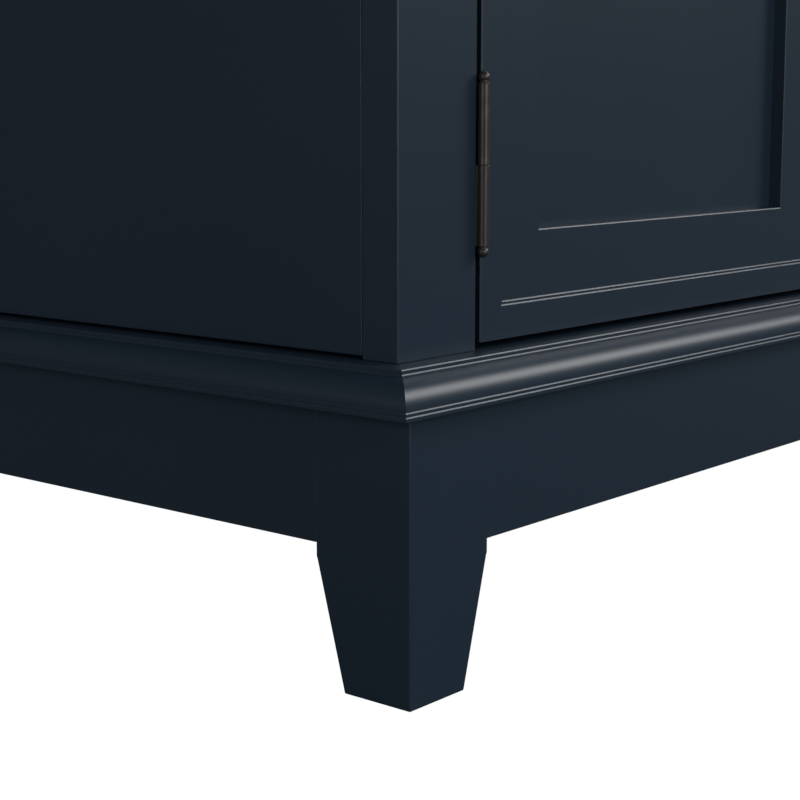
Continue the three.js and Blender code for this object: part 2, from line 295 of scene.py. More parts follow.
# %% [markdown]
# ## Zinc-plated steel and dark plastic
#
# The hidden fittings are plain: zinc plate has a fine cloudy crystal pattern, and the catches are
# moulded plastic with a faint grain. They are only seen with the doors open, and then close up.

# %% Steel and plastic
ZINC_LIGHT = linear(178, 180, 184)
ZINC_DARK = linear(138, 142, 149)
PLASTIC_LIGHT = linear(72, 60, 54)
PLASTIC_DARK = linear(52, 43, 39)
CRYSTALS_PER_METRE = 900
HAZE_PER_METRE = 300
HAZE_SHARE = 0.5
PLATED = 0.28
PLATED_DRIFT = 0.14
GRAIN_PER_METRE = 1800
GRAIN_HEIGHT = 0.06 * MM
GRAIN_STRENGTH = 0.25
MOULDED = 0.48
MOULDED_DRIFT = 0.1


def steel_maps(graph, place):
    cells = {"Vector": place, "Scale": CRYSTALS_PER_METRE}
    crystals = graph.node("ShaderNodeTexVoronoi", {}, cells, output=1)  # one colour per crystal
    haze = graph.noise(place, HAZE_PER_METRE, detail=3)
    tone = graph.node("ShaderNodeRGBToBW", {}, {"Color": crystals})
    share = tone * (1 - HAZE_SHARE) + haze * HAZE_SHARE
    return {
        "Base Color": graph.blend(share, ZINC_DARK, ZINC_LIGHT),
        "Roughness": PLATED + share * PLATED_DRIFT,
    }


def plastic_maps(graph, place):
    grain = graph.noise(place, GRAIN_PER_METRE, detail=3)
    return {
        "Base Color": graph.blend(grain, PLASTIC_DARK, PLASTIC_LIGHT),
        "Roughness": MOULDED + grain * MOULDED_DRIFT,
        "Normal": graph.ripple(grain, GRAIN_HEIGHT, GRAIN_STRENGTH),
    }


steel = finish("zinc_plate", steel_maps, **{"Metallic": 1.0})
plastic = finish("moulded_plastic", plastic_maps, **{"IOR": 1.5})
FINISHES = {
    "lacquer": lacquer, "interior": interior, "bronze": bronze, "steel": steel, "plastic": plastic,
}

# %% [markdown]
# ## From a bmesh to a finished piece
#
# Each piece is shaped in a bmesh and then turned into an object that rides on one body of the
# cabinet. Round stretches are made of steps under 15 degrees and are shaded smooth. Edges that turn
# further than that are marked sharp, so broad flat faces stay flat right up to their arrises.

# %% Pieces
SMOOTH_BELOW = math.radians(15)
ARRIS = 0.5 * MM
ARRIS_STEPS = 2


def piece(name, shape, body, slot, *nodes):
    """Ends a shape: normals out, shading set, finish on, riding on its body."""
    bmesh.ops.recalc_face_normals(shape, faces=shape.faces)
    mesh = bpy.data.meshes.new(name)
    shape.to_mesh(mesh)
    shape.free()
    mesh.shade_smooth()
    mesh.set_sharp_from_angle(angle=SMOOTH_BELOW)
    mesh.materials.append(FINISHES[slot])
    made = bpy.data.objects.new(name, mesh)
    bpy.context.scene.collection.objects.link(made)
    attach(made, body)
    if nodes:
        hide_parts(*nodes)


def block(low, high):
    """A box between two corners."""
    shape = bmesh.new()
    bmesh.ops.create_cube(shape, size=1)
    bmesh.ops.scale(shape, vec=Vector(high) - Vector(low), verts=shape.verts)
    bmesh.ops.translate(shape, vec=(Vector(low) + Vector(high)) / 2, verts=shape.verts)
    return shape


def soften(shape, edges, width=ARRIS, steps=ARRIS_STEPS):
    """Rounds edges over, as a pass with fine sandpaper does."""
    bmesh.ops.bevel(
        shape, geom=list(edges), offset=width, offset_type="OFFSET", affect="EDGES",
        segments=steps, profile=0.5, material=-1, clamp_overlap=True,
    )


def body_of(node):
    return frame["nodes"][node]["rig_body"]


def everything(shape):
    return [*shape.verts, *shape.edges, *shape.faces]


print("edges are broken by", ARRIS / MM, "mm unless a piece says otherwise")

# %% [markdown]
# ## Plain boards
#
# Most of the cabinet is boards. A real board's edges are never perfectly sharp: they are broken
# with sandpaper so that the lacquer holds on them, and that tiny round is what catches the light as
# a thin bright line. So each board is a cube, scaled to its place and beveled by half a
# millimetre. The aprons butt against the legs and were sanded flush with them before the lacquer
# went on. At the front and back nothing shows of those joints, so only the long edges are broken
# there, and at the sides a hairline shows.

# %% Boards
LACQUERED_BOARDS = [
    "apron_front", "apron_rear", "apron_left", "apron_right", "base_rail_rear",
    "face_stile_left", "face_stile_right", "face_rail_top",
]
INTERIOR_BOARDS = ["floor_panel", "shelf", "back_rail_bottom", "back_rail_top", "catch_cleat"]
FLUSH_BOARDS = ["apron_front", "apron_rear"]
HAIRLINE_BOARDS = ["apron_left", "apron_right"]
HAIRLINE = 0.2 * MM


def long_edges(shape, low, high):
    """The edges that run along a box's longest side."""
    span = high - low
    along = max(range(3), key=lambda axis: span[axis])
    return [edge for edge in shape.edges if abs(edge.verts[0].co[along] - edge.verts[1].co[along]) > MM]


def board(node, slot):
    low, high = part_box(node)
    shape = block(low, high)
    broken = long_edges(shape, low, high) if node in FLUSH_BOARDS else shape.edges
    soften(shape, broken, HAIRLINE if node in HAIRLINE_BOARDS else ARRIS)
    piece(f"{node}_board", shape, body_of(node), slot, node)


for node in LACQUERED_BOARDS:
    board(node, "lacquer")
for node in INTERIOR_BOARDS:
    board(node, "interior")
print("boards:", len(LACQUERED_BOARDS) + len(INTERIOR_BOARDS))

# %% [markdown]
# ## Side panels and corner blocks
#
# The side panels stop just short of the moulding below, which leaves a black shadow line, and the
# corner blocks stiffen the top of the case. Both keep the design's own solids, because the drilled
# holes and the cut corners are already right. The design's meshes are loose triangles, so a Weld
# modifier joins them before a Bevel modifier breaks their edges, and only the finish is new.

# %% Side panels and corner blocks
KEPT = {"side_panel_left": "lacquer", "side_panel_right": "lacquer"}
for row in ("front", "rear"):
    for side in SIDES:
        KEPT[f"corner_block_{row}_{side}"] = "interior"
WELD_WITHIN = 0.01 * MM
BEVEL_ABOVE = math.radians(40)

for node, slot in KEPT.items():
    kept = frame["nodes"][node]
    kept.data.materials.clear()
    kept.data.materials.append(FINISHES[slot])
    weld = kept.modifiers.new("weld", "WELD")
    weld.merge_threshold = WELD_WITHIN
    bevel = kept.modifiers.new("bevel", "BEVEL")
    bevel.width = ARRIS
    bevel.segments = ARRIS_STEPS
    bevel.limit_method = "ANGLE"
    bevel.angle_limit = BEVEL_ABOVE
print("kept from the design:", len(KEPT))

# %% [markdown]
# ## Tapered legs
#
# A leg is a square post. The two faces that look in under the cabinet are sawn to a taper, while
# the outer two stay upright. A cube is cut across where the taper starts, and then its foot is
# scaled about the outer corner, which slopes exactly the two inner faces. Above the taper the
# aprons lie flush against the leg, so its edges stay sharp there, apart from the outer corner.

# %% Legs
LEG_ARRIS = 0.6 * MM


def is_flush(edge, outer, taper_start, top):
    """True for the bend at the taper, and above it for the upright edges beside the aprons."""
    ends = [vertex.co for vertex in edge.verts]
    if all(abs(end.z - taper_start) < MM for end in ends):
        return True
    on_corner = all(abs(end[axis] - outer[axis]) < MM for end in ends for axis in (0, 1))
    upright = {round(end.z / MM) for end in ends} == {round(taper_start / MM), round(top / MM)}
    return upright and not on_corner


def leg(node):
    low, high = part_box(node)
    corners = [vertex.co for vertex in frame["nodes"][node].data.vertices]
    foot = [corner for corner in corners if corner.z < low.z + MM]
    taper_start = min(corner.z for corner in corners if corner.z > low.z + MM)
    foot_low = [min(corner[axis] for corner in foot) for axis in (0, 1)]
    foot_high = [max(corner[axis] for corner in foot) for axis in (0, 1)]
    outer = [low[axis] if foot_low[axis] - low[axis] < MM else high[axis] for axis in (0, 1)]
    shrink = (foot_high[0] - foot_low[0]) / (high.x - low.x)

    shape = block(low, high)
    bmesh.ops.bisect_plane(
        shape, geom=everything(shape), plane_co=(0, 0, taper_start), plane_no=(0, 0, 1)
    )
    about_corner = Matrix.Translation((-outer[0], -outer[1], 0))
    ends = [vertex for vertex in shape.verts if vertex.co.z < low.z + MM]
    bmesh.ops.scale(shape, vec=(shrink, shrink, 1), space=about_corner, verts=ends)
    broken = [edge for edge in shape.edges if not is_flush(edge, outer, taper_start, high.z)]
    soften(shape, broken, LEG_ARRIS)
    piece(f"{node}_post", shape, body_of(node), "lacquer", node)
    return shrink


for row in ("front", "rear"):
    for side in SIDES:
        shrink = leg(f"leg_{row}_{side}")
print("each foot is", round(shrink, 2), "of the post's width")

# %% [markdown]
# ## Base moulding
#
# The moulding is a board laid flat with a shaped edge, and it turns the corner in a mitre. Its
# section starts as a few points: two fine fillets, a square nosing and two more fillets. Each
# fillet's arris is planed to a narrow flat that leans back 30 degrees, which is what draws the
# bright lines along it. The nosing's corner is rounded over with one wide bevel, as a router would
# do. To get the mitre, each point stands as far along the board as it stands out from the case.

# %% Moulding
# Each pair says how far a face stands out from the case, and how far below the ledge it ends.
UPPER_FILLETS = [(11.25 * MM, 1.75 * MM), (12.2 * MM, 2.8 * MM)]
NOSE = (23.6 * MM, 14 * MM)
LOWER_FILLETS = [(24.3 * MM, 15.6 * MM), (25 * MM, 17.5 * MM)]
PLANED_LEAN = math.radians(30)
PLANED_TALL = 0.5 * MM
PLANED_DEEP = PLANED_TALL * math.tan(PLANED_LEAN)
ROUND_STEPS = 24
MOULDING_INSIDE = 45 * MM
MITRE_SEAM = 0.1 * MM

case_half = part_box("face_stile_right")[1].x
case_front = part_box("face_stile_left")[0].y
case_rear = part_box("back_rail_top")[1].y
ledge_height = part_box("face_stile_left")[0].z


def moulding_section():
    """The section as (out from the case, down from the ledge) pairs, and its nosing's corner."""
    points = [(-MOULDING_INSIDE, 0)]
    level = 0
    for out, foot in [*UPPER_FILLETS, NOSE, *LOWER_FILLETS]:
        if (out, foot) == NOSE:
            nose_corner = (out, level)
            points += [nose_corner, (out, foot)]
        else:
            points += [(out - PLANED_DEEP, level), (out, level + PLANED_TALL), (out, foot)]
        level = foot
    return [*points, (-MOULDING_INSIDE, level)], nose_corner


def verts_in(parts):
    return [part for part in parts if isinstance(part, bmesh.types.BMVert)]


def moulding(node, start, finish_ends):
    """`start` places a section point at the first mitre, and `finish_ends` moves the far end."""
    section, nose_corner = moulding_section()
    shape = bmesh.new()
    corners = [shape.verts.new(start(out, ledge_height - down)) for out, down in section]
    first = shape.faces.new(corners)
    nose = corners[section.index(nose_corner)]
    grown = bmesh.ops.extrude_face_region(shape, geom=[first])["geom"]
    finish_ends(shape, verts_in(grown))
    nosing = max(nose.link_edges, key=lambda edge: edge.calc_length())
    soften(shape, [nosing], NOSE[1] - UPPER_FILLETS[-1][1], ROUND_STEPS)
    piece(f"{node}_board", shape, body_of(node), "lacquer", node)


def front_start(out, height):
    return (case_half + out - MITRE_SEAM, case_front - out, height)


def front_ends(shape, ends):
    bmesh.ops.scale(shape, vec=(-1, 1, 1), verts=ends)


moulding("moulding_front", front_start, front_ends)

for side, sign in SIDES.items():

    def side_start(out, height, sign=sign):
        return (sign * (case_half + out), case_front - out + MITRE_SEAM, height)

    def side_ends(shape, ends):
        bmesh.ops.scale(shape, vec=(1, 0, 1), verts=ends)
        bmesh.ops.translate(shape, vec=(0, case_rear, 0), verts=ends)

    moulding(f"moulding_{side}", side_start, side_ends)
print("moulding stands out", round(LOWER_FILLETS[-1][0] / MM, 1), "mm")

# %% [markdown]
# ## Framed doors
#
# Each door has two stiles, two rails and a flat panel. Around its rim runs a plain border, and
# inside that the frame drops back in two very small steps. Seen from the front the steps draw a
# fine double line. A member starts as a box. Two rectangles, one just inside the other, are cut
# across it, and all that lies within the inner one sinks, which leaves a slope between them. A
# gentle slope planes an arris and a steep one makes a riser. Where a stile meets a rail the edges
# stay sharp, so the lacquer closes the joint and no line shows. The panel's edge is broken by a
# hairline only.

# %% Door members
BORDER = 14.5 * MM
STEP_WIDTH = 1.5 * MM
STEP_DEPTH = 0.75 * MM
RISER_RUN = 0.12 * MM
TOUCH = 0.02 * MM  # closer than this counts as the same place
MERGE = TOUCH / 10


def door_box(side):
    """The lowest and highest corner of a whole door, from its two stiles."""
    corners = [corner for part in ("hinge", "lock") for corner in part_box(f"door_{side}_{part}_stile")]
    low = Vector(min(corner[axis] for corner in corners) for axis in range(3))
    high = Vector(max(corner[axis] for corner in corners) for axis in range(3))
    return low, high


def inset(rectangle, distance):
    """A rectangle in X and Z, drawn in by a distance."""
    low, high = rectangle
    inwards = Vector((distance, 0, distance))
    return low + inwards, high - inwards


def depth_in(point, rectangle):
    """How far a point lies inside a rectangle."""
    low, high = rectangle
    return min(point.x - low.x, high.x - point.x, point.z - low.z, high.z - point.z)


def slope(shape, outer, run, fall, middle):
    """Slopes the front over `run` inside a rectangle, and sinks all that lies further in by `fall`."""
    inner = inset(outer, run)
    for rectangle in (outer, inner):
        for axis, normal in ((0, (1, 0, 0)), (2, (0, 0, 1))):
            for corner in rectangle:
                on_plane = Vector(normal) * corner[axis]
                bmesh.ops.bisect_plane(
                    shape, geom=everything(shape), plane_co=on_plane, plane_no=normal, dist=MERGE
                )
    front = [vertex for vertex in shape.verts if vertex.co.y < middle]
    sunk = [vertex for vertex in front if depth_in(vertex.co, inner) > -TOUCH]
    bmesh.ops.translate(shape, vec=(0, fall, 0), verts=sunk)


def is_joint(edge, joints):
    """True where an edge lies in a plane at which one member is glued to the next."""
    return any(all(abs(vertex.co.x - joint) < TOUCH for vertex in edge.verts) for joint in joints)


def is_rim(edge, door):
    """True where an edge lies on a door's outer edge."""
    return all(depth_in(vertex.co, door) < TOUCH for vertex in edge.verts)


def door_member(side, part, joints, door, opening):
    node = f"door_{side}_{part}"
    low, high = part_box(node)
    shape = block(low, high)
    soften(shape, [edge for edge in shape.edges if is_rim(edge, door) and not is_joint(edge, joints)])
    middle = (low.y + high.y) / 2
    for step in (0, 1):
        outer = inset(door, BORDER + step * STEP_WIDTH)
        slope(shape, outer, PLANED_TALL, PLANED_DEEP, middle)
        slope(shape, inset(outer, PLANED_TALL), RISER_RUN, STEP_DEPTH - PLANED_DEEP, middle)
    slope(shape, inset(opening, -PLANED_TALL), PLANED_TALL, PLANED_DEEP, middle)
    piece(f"{node}_member", shape, body_of(node), "lacquer", node)


for side in SIDES:
    door = door_box(side)
    rail_low, rail_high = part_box(f"door_{side}_bottom_rail")
    top_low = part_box(f"door_{side}_top_rail")[0]
    joints = (rail_low.x, rail_high.x)
    opening = Vector((rail_low.x, 0, rail_high.z)), Vector((rail_high.x, 0, top_low.z))
    for part in ("hinge_stile", "lock_stile", "bottom_rail", "top_rail"):
        door_member(side, part, joints, door, opening)
    node = f"door_{side}_panel"
    panel_low, panel_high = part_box(node)
    sheet_low = Vector((rail_low.x, panel_low.y, rail_high.z))
    sheet_high = Vector((rail_high.x, panel_high.y, top_low.z))
    sheet = block(sheet_low, sheet_high)
    soften(sheet, sheet.edges, HAIRLINE)
    piece(f"{node}_sheet", sheet, body_of(node), "lacquer", node)
    print(f"{side} door opening: {(sheet_high.x - sheet_low.x) / MM:.1f} mm wide")

# %% [markdown]
# ## Ball-tip butt hinges
#
# A butt hinge is stamped from strip. Each leaf is a flat plate in the gap beside the door, and one
# half of its front edge is curled round the pin into a knuckle. The curl is a short line across the
# strip, spun round the pin. The flat strip behind it is two more faces. Extruding all of it one way
# gives the half with the knuckle, and extruding only the flat part the other way gives the rest.
# The face that both extrusions start from stays inside the plate, as a partition.

# %% Hinge leaves
BORE = 1.3 * MM
KNUCKLE = 2.45 * MM
CURL_FROM = math.radians(48)  # from the plate's side round towards the back
CURL_THROUGH = math.radians(312)
CURL_STEPS = 40
PLATE_START = 2.9 * MM  # behind the pin's centre
STRIP = 1.15 * MM
KNUCKLE_GAP = 0.15 * MM  # on each side of the middle
LEAF_ARRIS = 0.15 * MM
LEAF_ARRIS_STEPS = 2
SHARP_TURN = math.radians(60)


def extrude_faces(shape, faces, vector):
    grown = bmesh.ops.extrude_face_region(shape, geom=faces)["geom"]
    bmesh.ops.translate(shape, vec=vector, verts=verts_in(grown))


def leaf(hinge, part, side, up, wood):
    """Makes one leaf and returns the middle of its outer face, at the pin's depth.

    `side` is the side of the pin, -1 or 1, that the plate lies on, `up` is 1 for the upper
    knuckle, and `wood` is how far from the pin the plate meets the board that it is screwed to.
    """
    node = f"{hinge}_{part}"
    low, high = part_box(node)
    pin_low, pin_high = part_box(f"{hinge}_pin")
    centre = (pin_low + pin_high) / 2
    tail = high.y - centre.y
    half = (high.z - low.z) / 2
    start = up * KNUCKLE_GAP

    shape = bmesh.new()
    ray = Vector((side * math.cos(CURL_FROM), math.sin(CURL_FROM), 0))
    lift = Vector((0, 0, start))
    inner = shape.verts.new(ray * BORE + lift)
    outer = shape.verts.new(ray * KNUCKLE + lift)
    curl = shape.edges.new([inner, outer])
    bmesh.ops.spin(
        shape, geom=[curl], cent=(0, 0, 0), axis=(0, 0, -side), angle=CURL_THROUGH, steps=CURL_STEPS
    )
    bend = [shape.verts.new((x, PLATE_START, start)) for x in (wood, wood - side * STRIP)]
    end = [shape.verts.new((x, tail, start)) for x in (wood, wood - side * STRIP)]
    shape.faces.new([inner, outer, *bend])
    plate = shape.faces.new([bend[1], bend[0], *end])
    extrude_faces(shape, shape.faces[:], (0, 0, up * half - start))
    extrude_faces(shape, [plate], (0, 0, -up * half - start))
    turned = [edge for edge in shape.edges if edge.calc_face_angle(0) > SHARP_TURN]
    soften(shape, turned, LEAF_ARRIS, LEAF_ARRIS_STEPS)
    bmesh.ops.translate(shape, vec=centre, verts=shape.verts)
    piece(f"{node}_strip", shape, body_of(node), "bronze", node)
    return centre + Vector((wood - side * STRIP, 0, 0))


print("hinge strip is", round(STRIP / MM, 2), "mm thick")
print("knuckles are", round(2 * KNUCKLE / MM, 1), "mm across")

# %% [markdown]
# ## Turned pieces
#
# The hinge pins, the knobs, the shelf pins and the rubber buttons are all turned on a lathe or
# moulded round. One set of helpers makes them all: a chain of points drawn beside an axis is spun
# full circle, and the seam and the two poles are merged, so no piece has an open seam.

# %% Turning
TURN_STEPS = 48


def chain(shape, last, points):
    """Adds edges from a vertex through (radius, height) points and returns the new last vertex."""
    for radius, height in points:
        vertex = shape.verts.new((radius, 0, height))
        if last:
            shape.edges.new([last, vertex])
        last = vertex
    return last


def arc(shape, last, centre_height, degrees, steps):
    """Adds an arc about a point on the axis, starting from a vertex."""
    spun = bmesh.ops.spin(
        shape, geom=[last], cent=(0, 0, centre_height), axis=(0, -1, 0),
        angle=math.radians(degrees), steps=steps,
    )
    return verts_in(spun["geom_last"])[0]


def turn(shape):
    """Spins everything full circle about Z and closes the seam and poles."""
    bmesh.ops.spin(
        shape, geom=shape.edges[:] + shape.verts[:], cent=(0, 0, 0), axis=(0, 0, 1),
        angle=math.tau, steps=TURN_STEPS, use_merge=True,
    )
    bmesh.ops.remove_doubles(shape, verts=shape.verts, dist=MERGE)


def aim(shape, direction, place):
    """Turns a shape made along +Z to face a direction, and puts it in place."""
    turned = Vector((0, 0, 1)).rotation_difference(Vector(direction)).to_matrix()
    bmesh.ops.rotate(shape, cent=(0, 0, 0), matrix=turned, verts=shape.verts)
    bmesh.ops.translate(shape, vec=place, verts=shape.verts)


print("turned pieces have", TURN_STEPS, "sides")

# %% [markdown]
# ## Hinge pins
#
# A pin is a thin shaft through both knuckles, and beyond each end of the barrel it has a short
# neck and a ball. The shaft and necks are straight lines of the chain. The balls are arcs, and an
# arc is a spin as well, of one vertex about the ball's centre, so it is round at any size.

# %% Hinge pins
SHAFT = 1.0 * MM
NECK = 1.9 * MM
BALL = 2.4 * MM
NECK_FROM = 0.3 * MM  # above the barrel
BALL_FROM = 0.9 * MM
ARC_STEPS = 16


def hinge_pin(hinge, barrel_half):
    node = f"{hinge}_pin"
    low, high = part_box(node)
    half_arc = math.degrees(math.acos(NECK / BALL))
    ball_centre = barrel_half + BALL_FROM + BALL * math.sin(math.radians(half_arc))
    shape = bmesh.new()
    last = chain(shape, None, [(0, -ball_centre - BALL)])
    last = arc(shape, last, -ball_centre, 90 + half_arc, ARC_STEPS)
    neck = [(NECK, -barrel_half - NECK_FROM), (SHAFT, -barrel_half - NECK_FROM)]
    neck += [(SHAFT, barrel_half + NECK_FROM), (NECK, barrel_half + NECK_FROM)]
    last = chain(shape, last, [*neck, (NECK, barrel_half + BALL_FROM)])
    arc(shape, last, ball_centre, 90 + half_arc, ARC_STEPS)
    turn(shape)
    aim(shape, (0, 0, 1), (low + high) / 2)
    piece(f"{node}_turned", shape, body_of(node), "bronze", node)


print("pin balls are", round(2 * BALL / MM, 1), "mm across")

# %% [markdown]
# ## Screws
#
# A cross-head screw is a shallow disc with a cross sunk into it. Eight cuts across the disc mark out
# the cross, and its faces are extruded inwards. The faces they start from stay in place, so the
# cross is closed over and the head looks plain. Deleting them would open it. One small shape serves
# for every screw here, at two sizes, and has only a few dozen faces.

# %% Screws
HEAD_SIDES = 20
HEAD_RISE = 0.14 * MM
HEAD_TOP = 0.9  # these shares are of the head's radius
CROSS_ARM = 0.13
CROSS_REACH = 0.55
CROSS_DEPTH = 1.2 * HEAD_RISE
FACING_OUT = 0.9
FINE_MERGE = 1e-7


def screw(name, body, slot, place, direction, radius):
    """A flush cross-head screw whose face looks along `direction`."""
    shape = bmesh.new()
    bmesh.ops.create_cone(
        shape, cap_ends=True, segments=HEAD_SIDES, radius1=radius, radius2=radius * HEAD_TOP,
        depth=2 * HEAD_RISE,
    )
    arm = radius * CROSS_ARM
    reach = radius * CROSS_REACH
    for axis in ((1, 0, 0), (0, 1, 0)):
        for distance in (-reach, -arm, arm, reach):
            bmesh.ops.bisect_plane(
                shape, geom=everything(shape), plane_co=Vector(axis) * distance, plane_no=axis,
                dist=FINE_MERGE,
            )

    def in_cross(face):
        middle = face.calc_center_median()
        across, along = sorted((abs(middle.x), abs(middle.y)))
        return face.normal.z > FACING_OUT and across < arm and along < reach

    cross = [face for face in shape.faces if in_cross(face)]
    extrude_faces(shape, cross, (0, 0, -CROSS_DEPTH))
    aim(shape, direction, place)
    piece(name, shape, body, slot)


print("a screw's cross is", round(CROSS_DEPTH / MM, 2), "mm deep")

# %% [markdown]
# ## Putting the hinges together
#
# Each hinge is a pin, two leaves and six screws. The pin and the frame leaf stay with the cabinet,
# and the door leaf rides on its door, so one knuckle turns about the pin when the door swings. The
# two leaves share one helper and differ only in the side they lie on and the half they curl over.

# %% Hinges
LEAF_SCREW = 2.9 * MM
LEAF_SCREW_SPREAD = 24 * MM
LEAF_SCREW_BACK = 9.4 * MM  # behind the pin's centre

for side, sign in SIDES.items():
    for level in ("lower", "upper"):
        hinge = f"hinge_{side}_{level}"
        pin_low, pin_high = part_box(f"{hinge}_pin")
        pin_x = (pin_low.x + pin_high.x) / 2
        barrel_low, barrel_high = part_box(f"{hinge}_frame_leaf")
        barrel_edge = barrel_high.x if sign > 0 else barrel_low.x
        stile_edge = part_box(f"face_stile_{side}")[0 if sign > 0 else 1].x
        plate_reach = abs(stile_edge - pin_x)
        hinge_pin(hinge, (barrel_high.z - barrel_low.z) / 2)
        leaves = [("frame_leaf", sign, -1, barrel_edge - pin_x)]
        leaves += [("door_leaf", -sign, 1, -sign * plate_reach)]
        for part, plate_side, up, wood in leaves:
            face = leaf(hinge, part, plate_side, up, wood)
            for number, rise in enumerate((-LEAF_SCREW_SPREAD, 0, LEAF_SCREW_SPREAD)):
                place = face + Vector((0, LEAF_SCREW_BACK, rise))
                screw(
                    f"{hinge}_{part}_screw_{number}", body_of(f"{hinge}_{part}"), "bronze",
                    place, (-plate_side, 0, 0), LEAF_SCREW,
                )
print("hinge plates reach", round(plate_reach / MM, 3), "mm from the pin")

# %% [markdown]
# ## Knobs
#
# Each door has a turned mushroom knob on its meeting stile. The chain follows the foot, the waist
# and the head, and the rings where it turns sharply are softened afterwards.

# %% Knobs
KNOB_CHAIN = [
    (0, 0), (8, 0), (8, 2), (5.2, 4.4), (4.3, 8), (4.6, 12.5), (7.4, 15), (12.6, 17.4),
    (14.5, 20), (14.5, 22), (12.8, 24.8), (8.2, 26.8), (0, 27.5),
]  # millimetres: radius, height above the door's field
KNOB_SOFTENING = 1.2 * MM
KNOB_STEPS = 4
KNOB_TURN = math.radians(12)

for side in SIDES:
    node = f"knob_{side}"
    low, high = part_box(node)
    shape = bmesh.new()
    chain(shape, None, [(radius * MM, height * MM) for radius, height in KNOB_CHAIN])
    turn(shape)
    circles = [edge for edge in shape.edges if abs(edge.verts[0].co.z - edge.verts[1].co.z) < TOUCH]
    rings = [edge for edge in circles if edge.calc_face_angle(0) > KNOB_TURN]
    soften(shape, rings, KNOB_SOFTENING, KNOB_STEPS)
    aim(shape, (0, -1, 0), ((low.x + high.x) / 2, high.y, (low.z + high.z) / 2))
    piece(f"{node}_turned", shape, body_of(node), "bronze", node)
print("knobs stand out", round((high.y - low.y) / MM, 1), "mm")

# %% [markdown]
# ## Catches and strike plates
#
# Butt hinges don't hold a door shut, so a magnetic catch hangs under a cleat behind the top rail,
# and a steel plate on the door meets it. The catch is a moulded body with two steel pole pieces
# that stand just proud of it. All of these are cubes with beveled edges. The plate's corners are
# rounded first, and then its two rims.

# %% Catches and strike plates
CATCH_ROUND = 1.2 * MM
CATCH_STEPS = 4
POLE_THICKNESS = 1.6 * MM
POLE_PROUD = 0.25 * MM
POLE_DEPTH = 3 * MM
POLE_RISE = 2.6 * MM  # above and below the catch's middle
POLE_FROM_END = 5 * MM
STRIKE_CORNER = 3 * MM
STRIKE_STEPS = 6
SMALL_SCREW = 2.4 * MM

for side in SIDES:
    node = f"catch_{side}"
    low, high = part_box(node)
    shape = block(low, high)
    soften(shape, shape.edges, CATCH_ROUND, CATCH_STEPS)
    piece(f"{node}_body", shape, body_of(node), "plastic", node)
    middle = (low.z + high.z) / 2
    for place, rise in (("upper", 1), ("lower", -1)):
        centre = middle + rise * POLE_RISE
        pole_low = (low.x + POLE_FROM_END, low.y - POLE_PROUD, centre - POLE_THICKNESS / 2)
        pole_high = (high.x - POLE_FROM_END, low.y + POLE_DEPTH, centre + POLE_THICKNESS / 2)
        shape = block(pole_low, pole_high)
        soften(shape, shape.edges, LEAF_ARRIS, LEAF_ARRIS_STEPS)
        piece(f"{node}_{place}_pole", shape, body_of(node), "steel")

    node = f"strike_{side}"
    low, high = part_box(node)
    shape = block(low, high)
    corners = [edge for edge in shape.edges if abs(edge.verts[0].co.y - edge.verts[1].co.y) > TOUCH]
    soften(shape, corners, STRIKE_CORNER, STRIKE_STEPS)
    rims = [edge for edge in shape.edges if edge.calc_face_angle(0) > SHARP_TURN]
    soften(shape, rims, LEAF_ARRIS, LEAF_ARRIS_STEPS)
    piece(f"{node}_plate", shape, body_of(node), "steel", node)
    centre = Vector(((low.x + high.x) / 2, high.y, (low.z + high.z) / 2))
    screw(f"{node}_screw", body_of(node), "steel", centre, (0, 1, 0), SMALL_SCREW)
print("strike plates are", round((high.x - low.x) / MM, 1), "mm wide")

# %% [markdown]
# ## Rubber buttons and shelf pins
#
# A thin rubber button near each meeting edge keeps the door from knocking on the cabinet floor. It
# tapers a little, and ends just short of the floor panel's front edge. The shelf lies on four steel
# pins. Half of each is pushed into the case, and its collar lies against the wall. Both are short
# chains of points, turned with the helpers from above.

# %% Rubber buttons and shelf pins
BUTTON = 4 * MM
BUTTON_TIP = 0.8 * BUTTON
BUTTON_FILL = 0.95  # of the gap between the door and the floor panel
BUTTON_TAPER_FROM = 0.5
BUTTON_FROM_EDGE = 9 * MM
BUTTON_RISE = 6.5 * MM
COLLAR = 4 * MM
COLLAR_THICKNESS = 1.2 * MM

for side, sign in SIDES.items():
    low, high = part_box(f"door_{side}_lock_stile")
    floor_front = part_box("floor_panel")[0].y
    room = floor_front - high.y
    shape = bmesh.new()
    points = [(0, 0), (BUTTON, 0), (BUTTON, room * BUTTON_TAPER_FROM)]
    points += [(BUTTON_TIP, room * BUTTON_FILL), (0, room * BUTTON_FILL)]
    chain(shape, None, points)
    turn(shape)
    meeting_edge = high.x if sign < 0 else low.x
    place = (meeting_edge + sign * BUTTON_FROM_EDGE, high.y, low.z + BUTTON_RISE)
    aim(shape, (0, 1, 0), place)
    piece(f"door_button_{side}", shape, f"door_{side}", "plastic")

for row in ("front", "rear"):
    for side, sign in SIDES.items():
        node = f"shelf_pin_{row}_{side}"
        low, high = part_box(node)
        radius = (high.z - low.z) / 2
        length = high.x - low.x
        wall = length / 2
        shape = bmesh.new()
        points = [(0, 0), (radius, 0), (radius, wall), (COLLAR, wall), (COLLAR, wall + COLLAR_THICKNESS)]
        points += [(radius, wall + COLLAR_THICKNESS), (radius, length), (0, length)]
        chain(shape, None, points)
        turn(shape)
        centre = (low + high) / 2
        aim(shape, (-sign, 0, 0), (centre.x + sign * length / 2, centre.y, centre.z))
        piece(f"{node}_turned", shape, body_of(node), "steel", node)
print("buttons are", round(room * BUTTON_FILL / MM, 2), "mm tall")
print("shelf pins are", round(length / MM, 1), "mm long")

